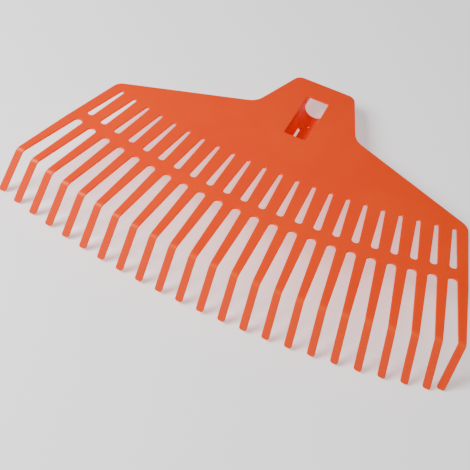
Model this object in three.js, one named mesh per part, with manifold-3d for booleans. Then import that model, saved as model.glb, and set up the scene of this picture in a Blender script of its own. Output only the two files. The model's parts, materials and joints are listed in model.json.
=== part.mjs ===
// Leaf rake head: a flat fan-shaped panel with a necked handle socket and 23 bent tines.
//
// Everything is laid out in the panel's own frame, in millimetres. The panel's top face is z = 0,
// +Y runs towards the neck and x = 0 is the centre line. The last lines tip the whole head back
// until it lies on the ground on its two outermost tine tips and the mouth of its socket.

import * as THREE from 'three';
import * as BufferGeometryUtils from 'three/addons/utils/BufferGeometryUtils.js';
import Module from 'manifold-3d';

const wasm = await Module();
wasm.setup();

// ---- Driving dimensions ----

const THICKNESS = 2.5;          // panel and tines
const GAP = 0.3;                // between pieces that touch
const ROOT_GAP = 0.4;           // between a tine and its stub, so that the tine can flex

// The fan. Tines, slots and notches lie on rays from one centre, (0, FAN_RADIUS).
const FAN_RADIUS = 1000;        // from that centre to y = 0, which the notches just reach
const FAN_STEP = 0.022;         // angle between two tines, in radians
const TINE_COUNT = 23;
const SIDE_TINES = (TINE_COUNT - 1) / 2;

// Each row is an arc about the fan's centre, drawn in a little at its two ends.
const SLOT_INNER_ROW = { beyond: -75.2, drawIn: 1.2 };
const SLOT_OUTER_ROW = { beyond: -14.2, drawIn: 4.3 };
const NOTCH_ROW = { beyond: -0.8, drawIn: 4.1 };
const ROOT_ROW = { beyond: 6.2, drawIn: 4.1 };
const BEND_ROW = { beyond: 83.1, drawIn: 5.4 };

const PANEL_ARC_STEPS = 2;      // each rounded corner has twice this many flats

const SLOT_INNER_WIDTH = 4.3;
const SLOT_INNER_CORNER = 2.1;
const SLOT_OUTER_WIDTH = 8.4;
const SLOT_OUTER_CORNER = 3.5;
const NOTCH_WIDTH = 10.3;
const NOTCH_CORNER = 4.8;

const TINE_ROOT_WIDTH = 11.8;
const TINE_BEND_WIDTH = 8.4;
const TINE_TIP_WIDTH = 8.6;
const BEND_ANGLE = 1.186;       // the lower leg turns down by this much, about the X direction
const BEND_RADIUS = 7.2;        // of the top surface
const BEND_STEPS = 5;
const LOWER_LEG = 59.5;         // from the corner of the bend to the tip
const TINE_LEANS = [1, 3, 13.6]; // how far in the last three tines' tips stand from true splay

// The panel's back edge, as sharp corners with the radius that rounds each one.
const SHOULDER_END = { x: 225, y: 111.7, radius: 15 };
const NECK_ROOT = { x: 66, y: 175.6, radius: 24 };
const NECK_TOP = { x: 38.7, y: 250.4, radius: 12 };

// The window over the lower half of the socket.
const WINDOW = { halfWidth: 14.3, near: 142, far: 220, corner: 0.8 };

// The socket: a half-round trough under the window, and two cheeks under the neck.
const BORE_RADIUS = 14;
const BORE_DEPTH = 14.5;        // of the bore's axis below the top face
const SOCKET_WALL = 3;
const TROUGH_MOUTH = 218.8;
const TROUGH_STEPS = 20;
const CHEEK_END = 247;
const CHEEK_BOTTOM = 15.5;      // below the top face
const SCREW_HOLE = { x: 1, y: 198.9, radius: 2, steps: 16 };
const FLOOR_SLOT = { x: -7.3, width: 2.9, near: 152, far: 188.5 };
const OVERCUT = 1;              // a cutting solid reaches this far past what it cuts

const ORANGE = { color: 0xf26322, roughness: 0.42, metalness: 0 };
const TINE_ORANGE = { color: 0xf76a27, roughness: 0.42, metalness: 0 };

// ---- Layout on the fan ----

function rowRadius(row, index) {
  return FAN_RADIUS + row.beyond - row.drawIn * (index / SIDE_TINES) ** 2;
}

// The point on ray number index (0 is the centre tine), at a distance from the fan's centre and
// offset to the side of the ray.
function fanPoint(index, radius, offset = 0) {
  const angle = index * FAN_STEP;
  return new THREE.Vector2(
    radius * Math.sin(angle) + offset * Math.cos(angle),
    FAN_RADIUS - radius * Math.cos(angle) + offset * Math.sin(angle),
  );
}

function corner(point, radius = 0) {
  return { x: point.x, y: point.y, radius };
}

function mirrored({ x, y, radius }) {
  return { x: -x, y, radius };
}

// ---- Outlines and solids ----

// Draws a closed outline through the corners, and rounds each corner that has a radius.
function drawOutline(path, corners) {
  corners.forEach((here, index) => {
    const point = new THREE.Vector2(here.x, here.y);
    const before = corners[(index + corners.length - 1) % corners.length];
    const after = corners[(index + 1) % corners.length];
    const back = new THREE.Vector2(before.x, before.y).sub(point).normalize();
    const ahead = new THREE.Vector2(after.x, after.y).sub(point).normalize();
    if (here.radius === 0) {
      if (index === 0) path.moveTo(point.x, point.y);
      else path.lineTo(point.x, point.y);
      return;
    }
    const half = Math.acos(THREE.MathUtils.clamp(back.dot(ahead), -1, 1)) / 2;
    const inward = back.clone().add(ahead).normalize();
    const centre = point.clone().addScaledVector(inward, here.radius / Math.sin(half));
    const start = point.clone().addScaledVector(back, here.radius / Math.tan(half)).sub(centre);
    const end = point.clone().addScaledVector(ahead, here.radius / Math.tan(half)).sub(centre);
    const clockwise = back.cross(ahead) > 0;
    if (index === 0) path.moveTo(centre.x + start.x, centre.y + start.y);
    path.absarc(centre.x, centre.y, here.radius, start.angle(), end.angle(), clockwise);
  });
  path.closePath();
  return path;
}

// A solid between two heights, with the given outline in plan.
function plateSolid(shape, bottom, top, curveSegments) {
  const geometry = new THREE.ExtrudeGeometry(shape, {
    depth: top - bottom,
    bevelEnabled: false,
    curveSegments,
  });
  return geometry.translate(0, 0, bottom);
}

// A solid between two places along Y, with the given outline in X and Z.
function lengthwiseSolid(shape, near, far, curveSegments) {
  const geometry = new THREE.ExtrudeGeometry(shape, {
    depth: far - near,
    bevelEnabled: false,
    curveSegments,
  });
  return geometry.rotateX(Math.PI / 2).translate(0, far, 0);
}

function blockSolid(low, high) {
  const size = high.clone().sub(low);
  const centre = high.clone().add(low).multiplyScalar(0.5);
  return new THREE.BoxGeometry(size.x, size.y, size.z).translate(centre.x, centre.y, centre.z);
}

// A closed skin over a row of rings that have the same number of corners.
function loftSolid(rings) {
  const count = rings[0].length;
  const positions = rings.flat().flatMap((point) => [point.x, point.y, point.z]);
  const triangles = [];
  for (let ring = 0; ring < rings.length - 1; ring += 1) {
    for (let side = 0; side < count; side += 1) {
      const a = ring * count + side;
      const b = ring * count + ((side + 1) % count);
      triangles.push(a, b, b + count, a, b + count, a + count);
    }
  }
  const last = (rings.length - 1) * count;
  for (let side = 1; side < count - 1; side += 1) {
    triangles.push(0, side + 1, side);
    triangles.push(last, last + side, last + side + 1);
  }
  const geometry = new THREE.BufferGeometry();
  geometry.setAttribute('position', new THREE.Float32BufferAttribute(positions, 3));
  geometry.setIndex(triangles);
  return geometry;
}

function toManifold(geometry) {
  const bare = geometry.clone();
  bare.deleteAttribute('normal');
  bare.deleteAttribute('uv');
  const merged = BufferGeometryUtils.mergeVertices(bare, 1e-4);
  return new wasm.Manifold(new wasm.Mesh({
    numProp: 3,
    vertProperties: new Float32Array(merged.attributes.position.array),
    triVerts: new Uint32Array(merged.index.array),
  }));
}

function fromManifold(solid) {
  const mesh = solid.getMesh();
  const geometry = new THREE.BufferGeometry();
  geometry.setAttribute('position', new THREE.BufferAttribute(mesh.vertProperties, 3));
  geometry.setIndex(new THREE.BufferAttribute(mesh.triVerts, 1));
  return geometry;
}

function makeMesh(name, geometry, look) {
  geometry.computeVertexNormals();
  const mesh = new THREE.Mesh(geometry, new THREE.MeshStandardMaterial(look));
  mesh.name = name;
  return mesh;
}

// ---- The panel ----

// The stub of one tine ends in a straight edge along X, where the tine's own piece begins.
function stubCorners(index) {
  const middle = fanPoint(index, rowRadius(ROOT_ROW, index));
  const half = TINE_ROOT_WIDTH / 2 / Math.cos(index * FAN_STEP);
  return [
    { x: middle.x - half, y: middle.y, radius: 0 },
    { x: middle.x + half, y: middle.y, radius: 0 },
  ];
}

function notchCorners(index) {
  const radius = rowRadius(NOTCH_ROW, index);
  return [
    corner(fanPoint(index, radius, -NOTCH_WIDTH / 2), NOTCH_CORNER),
    corner(fanPoint(index, radius, NOTCH_WIDTH / 2), NOTCH_CORNER),
  ];
}

function panelOutline() {
  const corners = [];
  for (let index = -SIDE_TINES; index <= SIDE_TINES; index += 1) {
    corners.push(...stubCorners(index));
    if (index < SIDE_TINES) corners.push(...notchCorners(index + 0.5));
  }
  corners.push(SHOULDER_END, NECK_ROOT, NECK_TOP);
  corners.push(mirrored(NECK_TOP), mirrored(NECK_ROOT), mirrored(SHOULDER_END));
  return drawOutline(new THREE.Shape(), corners);
}

function slotOutline(index) {
  const inner = rowRadius(SLOT_INNER_ROW, index);
  const outer = rowRadius(SLOT_OUTER_ROW, index);
  return drawOutline(new THREE.Path(), [
    corner(fanPoint(index, outer, -SLOT_OUTER_WIDTH / 2), SLOT_OUTER_CORNER),
    corner(fanPoint(index, outer, SLOT_OUTER_WIDTH / 2), SLOT_OUTER_CORNER),
    corner(fanPoint(index, inner, SLOT_INNER_WIDTH / 2), SLOT_INNER_CORNER),
    corner(fanPoint(index, inner, -SLOT_INNER_WIDTH / 2), SLOT_INNER_CORNER),
  ]);
}

function windowOutline() {
  return drawOutline(new THREE.Path(), [
    { x: -WINDOW.halfWidth, y: WINDOW.near, radius: WINDOW.corner },
    { x: WINDOW.halfWidth, y: WINDOW.near, radius: WINDOW.corner },
    { x: WINDOW.halfWidth, y: WINDOW.far, radius: WINDOW.corner },
    { x: -WINDOW.halfWidth, y: WINDOW.far, radius: WINDOW.corner },
  ]);
}

function makePanel() {
  const outline = panelOutline();
  for (let index = -SIDE_TINES + 0.5; index < SIDE_TINES; index += 1) {
    outline.holes.push(slotOutline(index));
  }
  outline.holes.push(windowOutline());
  return makeMesh('fan_plate', plateSolid(outline, -THICKNESS, 0, PANEL_ARC_STEPS), ORANGE);
}

// ---- The socket ----

// A U in X and Z: a half round with straight sides that run up to the given height.
function channelShape(radius, top) {
  const shape = new THREE.Shape();
  shape.moveTo(radius, top);
  shape.lineTo(-radius, top);
  shape.lineTo(-radius, -BORE_DEPTH);
  shape.absarc(0, -BORE_DEPTH, radius, Math.PI, 2 * Math.PI, false);
  shape.closePath();
  return shape;
}

function makeTrough() {
  const top = -THICKNESS - GAP;
  const outside = BORE_RADIUS + SOCKET_WALL;
  const outer = lengthwiseSolid(
    channelShape(outside, top), WINDOW.near - SOCKET_WALL, TROUGH_MOUTH, TROUGH_STEPS);
  const bore = lengthwiseSolid(
    channelShape(BORE_RADIUS, top + OVERCUT), WINDOW.near, TROUGH_MOUTH + OVERCUT, TROUGH_STEPS);
  const slot = blockSolid(
    new THREE.Vector3(FLOOR_SLOT.x - FLOOR_SLOT.width / 2, FLOOR_SLOT.near, -BORE_DEPTH - outside),
    new THREE.Vector3(FLOOR_SLOT.x + FLOOR_SLOT.width / 2, FLOOR_SLOT.far, -BORE_DEPTH),
  );
  const { x, y, radius, steps } = SCREW_HOLE;
  const screwHole = new THREE.CylinderGeometry(radius, radius, outside, steps)
    .rotateX(Math.PI / 2)
    .translate(x, y, -BORE_DEPTH - outside / 2 - OVERCUT);
  const solid = toManifold(outer)
    .subtract(toManifold(bore))
    .subtract(toManifold(slot))
    .subtract(toManifold(screwHole));
  return makeMesh('socket_trough', fromManifold(solid), ORANGE);
}

function makeCheek(name, side) {
  const inside = side * BORE_RADIUS;
  const outside = side * (BORE_RADIUS + SOCKET_WALL);
  const cheek = blockSolid(
    new THREE.Vector3(Math.min(inside, outside), TROUGH_MOUTH + GAP, -CHEEK_BOTTOM),
    new THREE.Vector3(Math.max(inside, outside), CHEEK_END, -THICKNESS - GAP),
  );
  return makeMesh(name, cheek, ORANGE);
}

// ---- The tines ----

// Stations along a tine's top surface, in Y and Z: the upper leg, the bend and the lower leg.
function tineStations(rootY, bendY) {
  const tangent = BEND_RADIUS * Math.tan(BEND_ANGLE / 2);
  const arcStart = bendY + tangent;
  const stations = [
    { y: rootY, z: 0, turn: 0, along: 0 },
    { y: arcStart, z: 0, turn: 0, along: rootY - arcStart },
  ];
  for (let step = 1; step <= BEND_STEPS; step += 1) {
    const turn = BEND_ANGLE * step / BEND_STEPS;
    stations.push({
      y: arcStart - BEND_RADIUS * Math.sin(turn),
      z: -BEND_RADIUS * (1 - Math.cos(turn)),
      turn,
      along: rootY - arcStart + BEND_RADIUS * turn,
    });
  }
  const arcEnd = stations.at(-1);
  const straight = LOWER_LEG - tangent;
  stations.push({
    y: arcEnd.y - straight * Math.cos(BEND_ANGLE),
    z: arcEnd.z - straight * Math.sin(BEND_ANGLE),
    turn: BEND_ANGLE,
    along: arcEnd.along + straight,
  });
  return stations;
}

function makeTine(index) {
  const angle = index * FAN_STEP;
  const root = fanPoint(index, rowRadius(ROOT_ROW, index));
  const bend = fanPoint(index, rowRadius(BEND_ROW, index));
  const stations = tineStations(root.y - ROOT_GAP, bend.y);
  const bendAlong = root.y - bend.y;
  const tipAlong = stations.at(-1).along;
  const lean = TINE_LEANS[index - SIDE_TINES + TINE_LEANS.length - 1] ?? 0;
  const rings = stations.map(({ y, z, turn, along }) => {
    const below = Math.max(0, (along - bendAlong) / (tipAlong - bendAlong));
    const above = Math.min(1, along / bendAlong);
    const width = below > 0
      ? THREE.MathUtils.lerp(TINE_BEND_WIDTH, TINE_TIP_WIDTH, below)
      : THREE.MathUtils.lerp(TINE_ROOT_WIDTH, TINE_BEND_WIDTH, above);
    const half = width / 2 / Math.cos(angle);
    const x = root.x + along * Math.tan(angle) - lean * below;
    const underY = y + THICKNESS * Math.sin(turn);
    const underZ = z - THICKNESS * Math.cos(turn);
    return [
      new THREE.Vector3(x + half, y, z),
      new THREE.Vector3(x - half, y, z),
      new THREE.Vector3(x - half, underY, underZ),
      new THREE.Vector3(x + half, underY, underZ),
    ];
  });
  const number = String(index + SIDE_TINES + 1).padStart(2, '0');
  return makeMesh(`tine_${number}`, loftSolid(rings), TINE_ORANGE);
}

// ---- The head, lying on the ground ----

function lowestTipCorner(index) {
  const bend = fanPoint(index, rowRadius(BEND_ROW, index));
  return new THREE.Vector2(
    bend.y - LOWER_LEG * Math.cos(BEND_ANGLE) + THICKNESS * Math.sin(BEND_ANGLE),
    -LOWER_LEG * Math.sin(BEND_ANGLE) - THICKNESS * Math.cos(BEND_ANGLE),
  );
}

const head = new THREE.Group();
head.add(makePanel());
head.add(makeTrough());
head.add(makeCheek('socket_cheek_left', -1));
head.add(makeCheek('socket_cheek_right', 1));
for (let index = -SIDE_TINES; index <= SIDE_TINES; index += 1) {
  head.add(makeTine(index));
}

// The line from the outermost tip to the lip of the trough's mouth lies on the ground.
const tip = lowestTipCorner(SIDE_TINES);
const lip = new THREE.Vector2(TROUGH_MOUTH, -BORE_DEPTH - BORE_RADIUS - SOCKET_WALL);
const tilt = Math.atan2(lip.y - tip.y, lip.x - tip.x);
head.rotation.x = -tilt;

// The origin is the middle of the head's plan, on the ground.
const group = new THREE.Group();
group.add(head);
group.updateMatrixWorld(true);
const bounds = new THREE.Box3().setFromObject(group, true);
const centre = bounds.getCenter(new THREE.Vector3());
group.position.set(-centre.x, -centre.y, -bounds.min.z);

export default group;
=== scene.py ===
import json
import math

import bmesh
import bpy
import numpy as np
from mathutils import Matrix, Vector
from mathutils.geometry import tessellate_polygon


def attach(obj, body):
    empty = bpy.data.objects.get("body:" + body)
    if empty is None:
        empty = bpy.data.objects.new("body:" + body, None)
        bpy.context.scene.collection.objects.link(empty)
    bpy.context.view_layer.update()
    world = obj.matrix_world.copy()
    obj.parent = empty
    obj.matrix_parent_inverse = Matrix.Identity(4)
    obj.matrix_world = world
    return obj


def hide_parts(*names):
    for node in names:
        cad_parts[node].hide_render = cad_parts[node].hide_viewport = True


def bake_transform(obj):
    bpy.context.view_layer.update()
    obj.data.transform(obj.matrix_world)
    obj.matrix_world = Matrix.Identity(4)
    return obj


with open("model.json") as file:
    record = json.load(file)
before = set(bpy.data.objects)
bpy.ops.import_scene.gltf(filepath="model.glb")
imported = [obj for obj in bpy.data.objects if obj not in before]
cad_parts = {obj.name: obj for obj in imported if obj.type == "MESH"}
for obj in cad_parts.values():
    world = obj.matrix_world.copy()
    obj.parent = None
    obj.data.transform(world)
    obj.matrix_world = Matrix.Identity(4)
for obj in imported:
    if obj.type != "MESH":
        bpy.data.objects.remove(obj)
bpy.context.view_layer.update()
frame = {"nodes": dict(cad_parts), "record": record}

mm = 0.001
print("frame loaded:", len(frame["nodes"]), "nodes")

# the fan: tines, slots and notches lie on rays from one centre, far behind the neck
fan = {
    "radius": 1000.0,  # from the centre to the zero line that rows are measured from
    "step": 0.022,  # angle between two tines, in radians
    "tines": 23,
    "drawIn": 4.1,  # how far the ends of a row stand nearer the centre
}
sideTines = (fan["tines"] - 1) // 2

# the panel's own axes, read from the frame
mounts = {mount["name"]: mount for mount in frame["record"]["mounts"]}
topMountPlace = 112.0  # along the panel, from the notch row
rightward = np.array((1.0, 0.0, 0.0))
neckward = np.array(mounts["handle_stop_face"]["axis"])
upward = np.array(mounts["panel_top"]["axis"])
panelOrigin = np.array(mounts["panel_top"]["pos_m"]) - topMountPlace * mm * neckward


def place(points):
    # panel millimetres to frame metres: origin plus each coordinate times its own axis
    axes = np.stack((rightward, neckward, upward))
    return panelOrigin + np.asarray(points, float) @ axes * mm


def rowRadius(beyond, drawIn, index):
    # the radius shrinks with the square of the ray's number
    return fan["radius"] + beyond - drawIn * (index / sideTines) ** 2


def fanPoint(index, radius, offset=0.0):
    # the point at that radius on a ray, stepped sideways along the ray's normal
    angle = index * fan["step"]
    x = radius * np.sin(angle) + offset * np.cos(angle)
    y = fan["radius"] - radius * np.cos(angle) + offset * np.sin(angle)
    return np.array((x, y))


def roundCorners(corners, arcPoints):
    # corners are rows of x, y and radius; each round one becomes an arc that both edges touch:
    # its centre is on the bisector, at the radius over the sine of half the corner's angle
    corners = np.asarray(corners, float)
    place2d, radius = corners[:, :2], corners[:, 2:]
    back = np.roll(place2d, 1, 0) - place2d
    ahead = np.roll(place2d, -1, 0) - place2d
    back /= np.linalg.norm(back, axis=1, keepdims=True)
    ahead /= np.linalg.norm(ahead, axis=1, keepdims=True)
    half = np.arccos(np.clip((back * ahead).sum(1, keepdims=True), -1, 1)) / 2
    bisector = back + ahead
    bisector /= np.linalg.norm(bisector, axis=1, keepdims=True)
    centre = place2d + bisector * radius / np.sin(half)
    start = place2d + back * radius / np.tan(half) - centre
    end = place2d + ahead * radius / np.tan(half) - centre
    startAngle = np.arctan2(start[:, 1], start[:, 0])
    sweep = np.arctan2(end[:, 1], end[:, 0]) - startAngle
    sweep = (sweep + np.pi) % (2 * np.pi) - np.pi
    angles = startAngle[:, None] + sweep[:, None] * np.linspace(0, 1, arcPoints)
    arcs = centre[:, None] + radius[:, None] * np.stack((np.cos(angles), np.sin(angles)), -1)
    sharp = np.repeat(radius == 0, arcPoints, 1)
    sharp[:, 0] = False
    arcs[radius[:, 0] == 0] = place2d[radius[:, 0] == 0][:, None]
    return arcs.reshape(-1, 2)[~sharp.ravel()]


def inwardSteps(loop):
    # at each corner, the step that moves both neighbouring edges inwards by one: the sum of the
    # two edge normals over one plus the cosine between them
    ahead = np.roll(loop, -1, 0) - loop
    ahead /= np.linalg.norm(ahead, axis=1, keepdims=True)
    normal = np.stack((-ahead[:, 1], ahead[:, 0]), 1)
    before = np.roll(normal, 1, 0)
    return (normal + before) / (1 + (normal * before).sum(1, keepdims=True))


def edgeProfile(thickness, radius, support=0.25, steps=4):
    # how far each ring stands in from the outline, and its height: a short flat, a quarter
    # round, the side, and the same again in mirror image
    turn = np.linspace(0, np.pi / 2, steps + 1)
    inset = np.concatenate(([radius + support], radius * (1 - np.sin(turn)), [0.0]))
    depth = np.concatenate(([0.0], radius * (1 - np.cos(turn)), [radius + support]))
    return (
        np.concatenate((inset, inset[::-1])),
        np.concatenate((-depth, -thickness + depth[::-1])),
    )


def makeObject(name, points, faces, material, flatFaces=0):
    # points in frame metres; the last flatFaces faces are flat, with a sharp edge all round
    mesh = bpy.data.meshes.new(name)
    mesh.from_pydata(points.tolist(), [], faces)
    mesh.polygons.foreach_set("use_smooth", np.ones(len(mesh.polygons), bool))
    if flatFaces:
        edgeOfLoop = np.empty(len(mesh.loops), int)
        mesh.loops.foreach_get("edge_index", edgeOfLoop)
        sharp = np.zeros(len(mesh.edges), bool)
        sharp[edgeOfLoop[-sum(len(face) for face in faces[-flatFaces:]):]] = True
        mesh.edges.foreach_set("use_edge_sharp", sharp)
    mesh.materials.append(material)
    mesh.update()
    piece = bpy.data.objects.new(name, mesh)
    bpy.context.scene.collection.objects.link(piece)
    return piece


def slabSkin(loops, thickness):
    # a flat slab with rounded edges. Each loop is its outline, its edge radius, and the numbers
    # of its open edges, which get a flat end instead of a rounded side. Points are outline plus
    # inset times inward step, at the height of each ring of the edge's profile.
    points, quads, ends, topLoops, topPlaces, bottomPlaces = [], [], [], [], [], []
    first = 0
    for outline, radius, openEdges, steps in loops:
        inset, height = edgeProfile(thickness, radius)
        rings, count = len(inset), len(outline)
        flat = outline[None] + inset[:, None, None] * steps[None]
        tall = np.broadcast_to(height[:, None, None], (rings, count, 1))
        points.append(np.concatenate((flat, tall), 2).reshape(-1, 3))
        side = np.setdiff1d(np.arange(count), openEdges)
        after = (side + 1) % count
        ring = np.arange(rings - 1)[:, None] * count
        quads.append(first + np.stack(
            (ring + side, ring + count + side, ring + count + after, ring + after), -1
        ).reshape(-1, 4))
        down = np.arange(rings) * count
        near = np.asarray(openEdges, int)[:, None]
        ends += (first + np.concatenate(
            (near + down, (near + 1) % count + down[::-1]), 1)).tolist()
        topLoops.append(points[-1][:count])
        topPlaces.append(first + np.arange(count))
        bottomPlaces.append(first + (rings - 1) * count + np.arange(count))
        first += rings * count
    triangles = np.array(tessellate_polygon([loop.tolist() for loop in topLoops]))
    corners = np.concatenate(topLoops)[triangles][..., :2]
    one, two = corners[:, 1] - corners[:, 0], corners[:, 2] - corners[:, 0]
    area = one[:, 0] * two[:, 1] - one[:, 1] * two[:, 0]
    # slivers are dropped, and triangles that face down are turned over
    sliver = 1e-9
    solid = np.abs(area) > sliver
    triangles, backwards = triangles[solid], area[solid] < 0
    triangles[backwards] = triangles[backwards][:, ::-1]
    top = np.concatenate(topPlaces)[triangles]
    bottom = np.concatenate(bottomPlaces)[triangles][:, ::-1]
    faces = np.concatenate(quads).tolist() + top.tolist() + bottom.tolist() + ends
    return np.concatenate(points), faces, len(ends)


# orange polypropylene; each noise has its scale, detail and roughness
plastic = {
    "colour": (0.96, 0.05, 0.0, 1),
    "paleColour": (1.0, 0.066, 0.0, 1),
    "legShadeColour": (0.82, 0.052, 0, 1),  # painted shade: deeper, to offset the light the legs take off the floor
    "bendHighlightColour": (1.0, 0.16, 0.012, 1),  # painted highlight: a pale band across each bend
    "specular": 0.3,
    "specularTint": (1.0, 0.72, 0.55, 1),
    "ior": 1.49,
    "mottleNoise": (14.0, 3.0, 0.55),
    "glossNoise": (42.0, 3.0, 0.6),
    "waveNoise": (22.0, 1.0, 0.5),
    "waveDepth": 0.0004,
    "grainNoise": (1500.0, 2.0, 0.5),
    "grainDepth": 0.00002,
    "roughness": (0.29, 0.37),
    "boreSpecular": 0.12,  # the core that shaped the bore left it duller
    "boreRoughness": (0.5, 0.6),
    "subsurface": 0.12,
    "subsurfaceScale": 0.004,
    "subsurfaceRadius": (1.0, 0.35, 0.12),
}


def makeNoise(nodes, links, coordinates, scale, detail, roughness):
    noise = nodes.new("ShaderNodeTexNoise")
    noise.inputs["Scale"].default_value = scale
    noise.inputs["Detail"].default_value = detail
    noise.inputs["Roughness"].default_value = roughness
    links.new(coordinates, noise.inputs["Vector"])
    return noise.outputs["Fac"]


def makeRange(nodes, links, value, low, high, fromLow=0.3, fromHigh=0.7):
    # noise seldom leaves fromLow to fromHigh, so that stretch is spread over low to high
    stretch = nodes.new("ShaderNodeMapRange")
    stretch.inputs["From Min"].default_value = fromLow
    stretch.inputs["From Max"].default_value = fromHigh
    stretch.inputs["To Min"].default_value = low
    stretch.inputs["To Max"].default_value = high
    links.new(value, stretch.inputs["Value"])
    return stretch.outputs["Result"]


def layColour(nodes, links, below, colour, attributeName):
    # the colour goes over the one below, by the share that the mesh attribute holds
    mix = nodes.new("ShaderNodeMix")
    mix.data_type = "RGBA"
    mix.inputs["B"].default_value = colour
    links.new(below, mix.inputs["A"])
    share = nodes.new("ShaderNodeAttribute")
    share.attribute_name = attributeName
    links.new(share.outputs["Fac"], mix.inputs["Factor"])
    return mix.outputs["Result"]


def makePlastic(name, specular, roughness):
    material = bpy.data.materials.new(name)
    material.use_nodes = True
    nodes, links = material.node_tree.nodes, material.node_tree.links
    nodes.clear()
    output = nodes.new("ShaderNodeOutputMaterial")
    shader = nodes.new("ShaderNodeBsdfPrincipled")
    links.new(shader.outputs["BSDF"], output.inputs["Surface"])
    coordinates = nodes.new("ShaderNodeTexCoord").outputs["Object"]

    # slow flow marks of the moulding in the colour, and a little in the gloss
    mottle = makeNoise(nodes, links, coordinates, *plastic["mottleNoise"])
    mix = nodes.new("ShaderNodeMix")
    mix.data_type = "RGBA"
    mix.inputs["A"].default_value = plastic["colour"]
    mix.inputs["B"].default_value = plastic["paleColour"]
    links.new(makeRange(nodes, links, mottle, 0.0, 1.0), mix.inputs["Factor"])
    colour = mix.outputs["Result"]
    # painted shade on the lower legs, then a painted highlight across each bend, over the
    # moulded colour
    for layer in ("legShade", "bendHighlight"):
        colour = layColour(nodes, links, colour, plastic[layer + "Colour"], layer)
    links.new(colour, shader.inputs["Base Color"])
    gloss = makeNoise(nodes, links, coordinates, *plastic["glossNoise"])
    links.new(makeRange(nodes, links, gloss, *roughness), shader.inputs["Roughness"])

    # a long soft wave from shrinkage under a fine moulded grain
    wave = nodes.new("ShaderNodeBump")
    wave.inputs["Distance"].default_value = plastic["waveDepth"]
    waviness = makeNoise(nodes, links, coordinates, *plastic["waveNoise"])
    links.new(waviness, wave.inputs["Height"])
    grain = nodes.new("ShaderNodeBump")
    grain.inputs["Distance"].default_value = plastic["grainDepth"]
    graininess = makeNoise(nodes, links, coordinates, *plastic["grainNoise"])
    links.new(graininess, grain.inputs["Height"])
    links.new(wave.outputs["Normal"], grain.inputs["Normal"])
    links.new(grain.outputs["Normal"], shader.inputs["Normal"])

    shader.inputs["IOR"].default_value = plastic["ior"]
    shader.inputs["Specular IOR Level"].default_value = specular
    shader.inputs["Specular Tint"].default_value = plastic["specularTint"]
    shader.inputs["Subsurface Weight"].default_value = plastic["subsurface"]
    shader.inputs["Subsurface Scale"].default_value = plastic["subsurfaceScale"]
    shader.inputs["Subsurface Radius"].default_value = plastic["subsurfaceRadius"]
    return material


orangePlastic = makePlastic("orangePolypropylene", plastic["specular"], plastic["roughness"])
borePlastic = makePlastic("boreSurface", plastic["boreSpecular"], plastic["boreRoughness"])


# lengths in millimetres; each row lies beyond the fan's zero line and is drawn in at its ends
tine = {
    "rootWidth": 11.8,  # of the panel's stubs as well
    "bendWidth": 8.4,
    "tipWidth": 8.6,
    "rootBeyond": 6.2,
    "bendBeyond": 83.1,
    "bendDrawIn": 5.4,
    "bendAngle": 1.186,
    "bendRadius": 7.2,
    "lowerLeg": 59.5,
    "leans": (1.0, 3.0, 13.6),  # how far in the last three tines' tips stand
    "tipCorner": 3.0,
    "upperStations": 12,
    "bendStations": 15,
    "lowerStations": 8,
    "tipStations": 10,
    # strength of the painted highlight across each bend
    "bendHighlightStrength": 0.3,
    "highlightBand": 3.0,  # how far the painted highlight reaches either way
    "flexLength": 45.0,  # a stretch past the root
}


panel = {
    "thickness": 2.5,  # and the tines'
    "edgeRadius": 0.45,
    "notchBeyond": -0.8,
    "notchWidth": 10.3,
    "notchCorner": 4.8,
    "slotInner": -75.2,
    "slotInnerDrawIn": 1.2,
    "slotOuter": -14.2,
    "slotOuterDrawIn": 4.3,
    "slotInnerWidth": 4.3,
    "slotOuterWidth": 8.4,
    "slotOuterCorner": 3.5,
    "slotInnerFlat": 0.1,  # left between a slot's two inner corners
    "shoulder": (225.0, 111.7, 15.0),  # x, y and corner radius
    "neckRoot": (66.0, 175.6, 24.0),
    "neckTop": (38.7, 250.4, 12.0),
    "window": (14.3, 142.0, 220.0, 0.8),  # half width, near end, far end and corner radius
    "windowEdge": 0.7,
    "arcPoints": 9,
}


def panelOutline():
    # stub, notch, stub along the front, then shoulder and neck on the right and on the left
    corners = []
    for index in range(-sideTines, sideTines + 1):
        x, y = fanPoint(index, rowRadius(tine["rootBeyond"], fan["drawIn"], index))
        half = tine["rootWidth"] / 2 / math.cos(index * fan["step"])
        corners += [(x - half, y, 0), (x + half, y, 0)]
        if index < sideTines:
            radius = rowRadius(panel["notchBeyond"], fan["drawIn"], index + 0.5)
            for side in (-0.5, 0.5):
                notch = fanPoint(index + 0.5, radius, side * panel["notchWidth"])
                corners.append((*notch, panel["notchCorner"]))
    back = np.array((panel["shoulder"], panel["neckRoot"], panel["neckTop"]))
    corners += back.tolist() + (back[::-1] * (-1, 1, 1)).tolist()
    return roundCorners(corners, panel["arcPoints"])


def slotOutline(index):
    inner = rowRadius(panel["slotInner"], panel["slotInnerDrawIn"], index)
    outer = rowRadius(panel["slotOuter"], panel["slotOuterDrawIn"], index)
    innerHalf, outerHalf = panel["slotInnerWidth"] / 2, panel["slotOuterWidth"] / 2
    innerCorner = innerHalf - panel["slotInnerFlat"] / 2
    return roundCorners([
        (*fanPoint(index, outer, -outerHalf), panel["slotOuterCorner"]),
        (*fanPoint(index, inner, -innerHalf), innerCorner),
        (*fanPoint(index, inner, innerHalf), innerCorner),
        (*fanPoint(index, outer, outerHalf), panel["slotOuterCorner"]),
    ], panel["arcPoints"])


def windowOutline():
    half, near, far, corner = panel["window"]
    return roundCorners([
        (-half, near, corner), (-half, far, corner), (half, far, corner), (half, near, corner),
    ], panel["arcPoints"])


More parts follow.
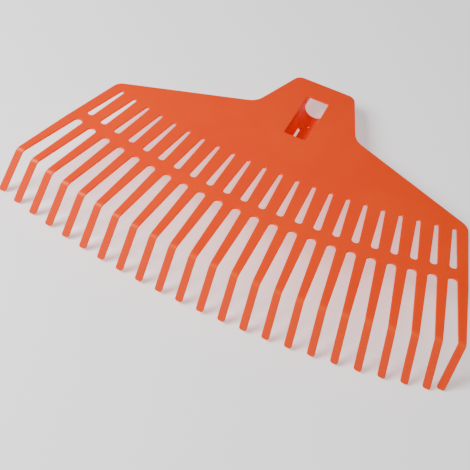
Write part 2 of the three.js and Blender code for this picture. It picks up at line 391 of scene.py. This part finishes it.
def stubEnds(outline):
    # the outline's edges across the stubs' ends, by their first corners, from left to right
    rootY = [fanPoint(index, rowRadius(tine["rootBeyond"], fan["drawIn"], index))[1]
             for index in range(-sideTines, sideTines + 1)]
    following = np.roll(outline, -1, 0)
    isEnd = np.isclose(outline[:, 1], following[:, 1]) & np.isin(
        np.round(outline[:, 1], 6), np.round(rootY, 6))
    ends = np.flatnonzero(isEnd)
    return ends[np.argsort(outline[ends, 0])]


def makePanel():
    outline = panelOutline()
    steps = inwardSteps(outline)
    # a stub's two end corners step along the end, so that the tine's section fits them
    ends = stubEnds(outline)
    angles = np.arange(-sideTines, sideTines + 1) * fan["step"]
    stepAcross = np.stack((1 / np.cos(angles), np.zeros(fan["tines"])), 1)
    steps[ends] = stepAcross
    steps[ends + 1] = -stepAcross
    loops = [(outline, panel["edgeRadius"], ends, steps)]
    for index in np.arange(-sideTines + 0.5, sideTines):
        slot = slotOutline(index)
        loops.append((slot, panel["edgeRadius"], [], inwardSteps(slot)))
    window = windowOutline()
    loops.append((window, panel["windowEdge"], [], inwardSteps(window)))
    points, faces, flatFaces = slabSkin(loops, panel["thickness"])
    piece = makeObject("panel", place(points), faces, orangePlastic, flatFaces)
    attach(piece, "head")
    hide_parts("fan_plate")


makePanel()
print("panel made")


def tinePath(rootY, bendY):
    # the top surface from root to tip: distance along it, y, z and the angle turned so far.
    # The stations crowd together at the bend and, as a quarter sine, at the rounded tip.
    tangent = tine["bendRadius"] * math.tan(tine["bendAngle"] / 2)
    upper = rootY - bendY - tangent
    arc = tine["bendRadius"] * tine["bendAngle"]
    end = upper + arc + tine["lowerLeg"] - tangent
    quarterTurn = np.linspace(0, np.pi / 2, tine["tipStations"])
    along = np.concatenate((
        np.linspace(0, upper, tine["upperStations"])[:-1],
        np.linspace(upper, upper + arc, tine["bendStations"])[:-1],
        np.linspace(upper + arc, end - tine["tipCorner"], tine["lowerStations"])[:-1],
        end - tine["tipCorner"] * (1 - np.sin(quarterTurn)),
    ))
    turn = np.clip((along - upper) / tine["bendRadius"], 0, tine["bendAngle"])
    past = np.clip(along - upper - arc, 0, None)
    y = rootY - np.minimum(along, upper) - tine["bendRadius"] * np.sin(turn)
    y -= past * math.cos(tine["bendAngle"])
    z = -tine["bendRadius"] * (1 - np.cos(turn)) - past * math.sin(tine["bendAngle"])
    return along, y, z, turn


def quarterInset(distance, radius):
    # how far a quarter round stands in, at a distance from the end it rounds
    near = np.clip(radius - distance, 0, radius)
    return radius - np.sqrt(np.clip(radius ** 2 - near ** 2, 0, None))


def tineSides(index, along, reach):
    # at each station, the middle's step sideways from the root and half the width across X
    angle = index * fan["step"]
    below = np.clip((along - reach) / (along[-1] - reach), 0, 1)
    above = np.clip(along / reach, 0, 1)
    half = tine["rootWidth"] + (tine["bendWidth"] - tine["rootWidth"]) * above
    half = (half + (tine["tipWidth"] - tine["bendWidth"]) * below) / 2
    half = half / math.cos(angle) - quarterInset(along[-1] - along, tine["tipCorner"])
    leaning = index - sideTines + len(tine["leans"]) - 1
    lean = tine["leans"][leaning] if leaning >= 0 else 0.0
    return along * math.tan(angle) - lean * below, half


def setShares(mesh, shares, count):
    # each share has one value for every station, which all of its count points take
    for name, share in shares.items():
        attribute = mesh.attributes.new(name, "FLOAT", "POINT")
        attribute.data.foreach_set("value", np.repeat(share, count))


def makeTine(index):
    root = fanPoint(index, rowRadius(tine["rootBeyond"], fan["drawIn"], index))
    bendCorner = fanPoint(index, rowRadius(tine["bendBeyond"], tine["bendDrawIn"], index))
    reach = root[1] - bendCorner[1]
    along, y, z, turn = tinePath(root[1], bendCorner[1])
    sideways, half = tineSides(index, along, reach)
    middle = root[0] + sideways

    # the section is the panel's edge profile on both sides, carried along the path; near the
    # tip it also thins towards its middle
    inset, height = edgeProfile(panel["thickness"], panel["edgeRadius"])
    thin = quarterInset(along[-1] - along, panel["edgeRadius"])[:, None]
    centre = -panel["thickness"] / 2
    height = centre + (height - centre) * (1 + thin / centre)
    across = half[:, None] - inset / math.cos(index * fan["step"])
    x = np.concatenate((middle[:, None] + across, middle[:, None] - across[:, ::-1]), 1)
    height = np.concatenate((height, height[:, ::-1]), 1)
    points = np.stack((
        x,
        y[:, None] - height * np.sin(turn)[:, None],
        z[:, None] + height * np.cos(turn)[:, None],
    ), -1)
    stations, count = x.shape
    station = np.arange(stations - 1)[:, None] * count
    corner = np.arange(count)
    after = (corner + 1) % count
    quads = np.stack(
        (station + corner, station + after, station + count + after, station + count + corner),
        -1).reshape(-1, 4)
    ends = [corner[::-1].tolist(), (corner + (stations - 1) * count).tolist()]
    number = f"{index + sideTines + 1:02d}"
    piece = makeObject(
        f"tine_blade_{number}", place(points.reshape(-1, 3)), quads.tolist() + ends,
        orangePlastic, 2)
    # the legs' painted shade comes in with the turn; the painted highlight is a bell curve
    # round the bend's middle
    setShares(piece.data, {
        "legShade": turn / tine["bendAngle"],
        "bendHighlight": tine["bendHighlightStrength"] * np.exp(-((along - reach) / tine["highlightBand"]) ** 2),
    }, count)
    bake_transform(piece)
    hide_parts(f"tine_{number}")


for tineIndex in range(-sideTines, sideTines + 1):
    makeTine(tineIndex)
print("tines made")


# the handle's socket: lengths in millimetres, X and Y along the panel, heights from its top
socket = {
    "radius": 14.0,
    "depth": 14.5,  # of the bore's axis below the top face
    "draft": 0.2,  # each side leans out by this much on its way up
    "top": -2.1,  # the walls end a little way inside the panel
    "wall": 3.0,
    "near": 142.0,  # the closed end, which a handle stops at
    "far": 218.8,
    "arcLines": 61,
    "yLines": 49,
    "endRings": 8,
    "slotX": (-8.75, -5.85),
    "slotY": (152.0, 188.5),
    "holeX": 1.0,
    "holeY": 198.9,
    "holeRadius": 2.0,
    "holePatch": 3.6,  # half side of the patch of skin that holds the hole
    "patchCells": 8,  # along a side of the patch
    "patchRings": 4,
    "rim": 0.4,
    "rimSegments": 3,
    "rimAngle": 50,  # degrees; only edges that turn by more are rounded
    "cheekY": (216.0, 247.0),
    "cheekBottom": -15.5,
    "cheekCorner": 4.0,
    "cheekOtherCorners": 0.3,
    "cheekEdge": 0.5,
    "cheekThickness": 2.7,
}


def linesThrough(low, high, count, fixed, patch, margin=0.01, crowding=0.4):
    # evenly spaced lines, without those in the patch or nearer to a fixed line than crowding
    # times the spacing, and then the fixed lines and the patch's own
    even = np.linspace(low, high, count)
    keep = (even < patch[0] - margin) | (even > patch[-1] + margin)
    fixed = np.asarray(fixed, float)
    keep &= np.abs(even[:, None] - fixed[None]).min(1) > (high - low) / count * crowding
    keep[[0, -1]] = True
    return np.sort(np.concatenate((even[keep], fixed, patch)))


def boreSkin(arc, y):
    # arc is the distance round the half round from its bottom; past a quarter turn the side
    # goes straight up and leans out by its draft
    quarter = socket["radius"] * np.pi / 2
    turn = np.clip(arc, -quarter, quarter) / socket["radius"]
    rise = np.clip(np.abs(arc) - quarter, 0, None)
    lean = socket["draft"] * rise / (socket["top"] + socket["depth"])
    x = (socket["radius"] + lean) * np.sin(turn)
    z = -socket["depth"] - socket["radius"] * np.cos(turn) + rise
    return np.stack(np.broadcast_arrays(x, y, z), -1)


def gridQuads(rows, columns):
    corner = np.arange(rows - 1)[:, None] * columns + np.arange(columns - 1)
    return np.stack((corner, corner + 1, corner + columns + 1, corner + columns), -1)


def holeSkin(patchSide):
    # the skin round the hole: rings from a circle out to the square patch
    side = patchSide[:-1]
    full = np.full(len(side), socket["holePatch"])
    square = np.stack((
        np.concatenate((side, full, -side, -full)),
        np.concatenate((-full, side, full, -side)),
    ), 1)
    circle = square / np.linalg.norm(square, axis=1, keepdims=True) * socket["holeRadius"]
    out = np.linspace(0, 1, socket["patchRings"])[:, None, None]
    ring = circle + (square - circle) * out
    ring = np.concatenate((ring, ring[:, :1]), 1)
    points = boreSkin(ring[..., 0] + socket["holeX"], ring[..., 1] + socket["holeY"])
    quads = gridQuads(*ring.shape[:2])[:, :, ::-1]
    return points.reshape(-1, 3), quads.reshape(-1, 4)


def endSkin(arcLines):
    # the closed end shrinks the bore's outline on to the middle of its top
    shrink = np.linspace(0, 1, socket["endRings"])[:, None, None]
    outline = boreSkin(arcLines, socket["near"])
    middle = np.array((0, socket["near"], socket["top"]))
    points = outline + (middle - outline) * shrink
    quads = gridQuads(*points.shape[:2])[:, :, ::-1]
    return points.reshape(-1, 3), quads.reshape(-1, 4)


def troughSkins():
    # the bore's skin as a grid of arc by length, less the slot and the patch, then the patch
    # round the hole and the closed end
    quarter = socket["radius"] * np.pi / 2
    rim = quarter + socket["top"] + socket["depth"]
    slotArc = socket["radius"] * np.arcsin(np.array(socket["slotX"]) / socket["radius"])
    patchSide = np.linspace(
        -socket["holePatch"], socket["holePatch"], socket["patchCells"] + 1)
    arcLines = linesThrough(
        -rim, rim, socket["arcLines"], slotArc, socket["holeX"] + patchSide)
    yLines = linesThrough(
        socket["near"], socket["far"], socket["yLines"], socket["slotY"],
        socket["holeY"] + patchSide)
    arc, y = np.meshgrid(arcLines, yLines)
    quads = gridQuads(*arc.shape)
    arcMiddle = (arcLines[:-1] + arcLines[1:]) / 2
    yMiddle = (yLines[:-1] + yLines[1:])[:, None] / 2
    inSlot = (arcMiddle > slotArc[0]) & (arcMiddle < slotArc[1])
    inSlot = inSlot & (yMiddle > socket["slotY"][0]) & (yMiddle < socket["slotY"][1])
    inPatch = (np.abs(arcMiddle - socket["holeX"]) < socket["holePatch"]) & (
        np.abs(yMiddle - socket["holeY"]) < socket["holePatch"])
    bore = boreSkin(arc, y).reshape(-1, 3), quads[~(inSlot | inPatch)]
    return [bore, holeSkin(patchSide), endSkin(arcLines)]


def mergeSeams(mesh):
    # joins the skins where they meet, and closes the fan at the middle of the closed end
    near = 0.002 * mm
    merged = bmesh.new()
    merged.from_mesh(mesh)
    bmesh.ops.remove_doubles(merged, verts=merged.verts, dist=near)
    bmesh.ops.dissolve_degenerate(merged, edges=merged.edges, dist=near)
    merged.to_mesh(mesh)
    merged.free()


def makeTrough():
    skins = troughSkins()
    points = np.concatenate([place(skin[0]) for skin in skins])
    starts = np.cumsum([0] + [len(skin[0]) for skin in skins[:-1]])
    faces = np.concatenate([skin[1] + start for skin, start in zip(skins, starts)])
    piece = makeObject("socket_shell", points, faces.tolist(), borePlastic)
    mergeSeams(piece.data)
    shell = piece.modifiers.new("wall", "SOLIDIFY")
    shell.thickness = socket["wall"] * mm
    shell.offset = -1
    shell.use_even_offset = True
    rounded = piece.modifiers.new("rim", "BEVEL")
    rounded.width = socket["rim"] * mm
    rounded.segments = socket["rimSegments"]
    rounded.limit_method = "ANGLE"
    rounded.angle_limit = math.radians(socket["rimAngle"])
    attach(piece, "head")
    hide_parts("socket_trough")


def makeCheek(name, node, innerFace):
    near, far = socket["cheekY"]
    top, bottom, other = socket["top"], socket["cheekBottom"], socket["cheekOtherCorners"]
    outline = roundCorners([
        (near, bottom, other), (far, bottom, socket["cheekCorner"]),
        (far, top, other), (near, top, other),
    ], panel["arcPoints"])
    points, faces, flatFaces = slabSkin(
        [(outline, socket["cheekEdge"], [], inwardSteps(outline))], socket["cheekThickness"])
    # the slab stands up: its thickness runs along X from the inner face
    standing = points[:, [2, 0, 1]] + (innerFace, 0, 0)
    piece = makeObject(name, place(standing), faces, borePlastic, flatFaces)
    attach(piece, "head")
    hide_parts(node)


makeTrough()
cheekGap = socket["radius"] + (socket["wall"] - socket["cheekThickness"]) / 2
makeCheek("cheek_left_wall", "socket_cheek_left", -cheekGap)
makeCheek("cheek_right_wall", "socket_cheek_right", cheekGap + socket["cheekThickness"])
print("socket made")


# the floor and the light, in metres and watts
stage = {
    "floorSize": 60.0,
    "floorColour": (0.86, 0.86, 0.86, 1),
    "floorRoughness": 0.9,
    "floorGlow": 0.55,
    "world": 0.24,
    "softboxPlace": (-0.95, -0.62, 1.2),
    "softboxTarget": (-0.05, 0, 0.03),
    "softboxSide": 0.75,
    "softboxPower": 39,
}

# the camera; lens and sensor in millimetres
view = {
    "place": (0.1674, -0.57322, 0.74112),
    "target": (0.00727, -0.09903, 0.045),
    "roll": 8.352,  # degrees, of the camera about its own axis
    "lens": 61.3,
    "sensor": 36.0,
    "farthest": 100,
}


def makeFloor():
    half = stage["floorSize"] / 2
    points = np.array([(-half, -half, 0), (half, -half, 0), (half, half, 0), (-half, half, 0)])
    material = bpy.data.materials.new("paleFloor")
    material.use_nodes = True
    shader = material.node_tree.nodes["Principled BSDF"]
    shader.inputs["Base Color"].default_value = stage["floorColour"]
    shader.inputs["Roughness"].default_value = stage["floorRoughness"]
    shader.inputs["Emission Color"].default_value = (1, 1, 1, 1)
    shader.inputs["Emission Strength"].default_value = stage["floorGlow"]
    floor = makeObject("floor", points, [(0, 1, 2, 3)], material)


def makeSoftbox():
    lamp = bpy.data.lights.new("keySoftbox", "AREA")
    lamp.shape = "SQUARE"
    lamp.size = stage["softboxSide"]
    lamp.energy = stage["softboxPower"]
    holder = bpy.data.objects.new("keySoftbox", lamp)
    holder.location = stage["softboxPlace"]
    aim = Vector(stage["softboxTarget"]) - Vector(stage["softboxPlace"])
    holder.rotation_euler = aim.to_track_quat("-Z", "Y").to_euler()
    bpy.context.scene.collection.objects.link(holder)


def makeWorld():
    world = bpy.data.worlds.new("studio")
    world.use_nodes = True
    background = world.node_tree.nodes["Background"]
    background.inputs["Color"].default_value = (1, 1, 1, 1)
    background.inputs["Strength"].default_value = stage["world"]
    bpy.context.scene.world = world


def makeCamera():
    camera = bpy.data.cameras.new("camera")
    camera.lens = view["lens"]
    camera.sensor_width = view["sensor"]
    camera.clip_end = view["farthest"]
    holder = bpy.data.objects.new("camera", camera)
    holder.location = view["place"]
    aim = Vector(view["target"]) - Vector(view["place"])
    turn = aim.to_track_quat("-Z", "Y").to_matrix()
    turn = turn @ Matrix.Rotation(math.radians(view["roll"]), 3, "Z")
    holder.rotation_euler = turn.to_euler()
    bpy.context.scene.collection.objects.link(holder)
    bpy.context.scene.camera = holder


makeFloor()
makeWorld()
makeSoftbox()
makeCamera()
print("stage made")
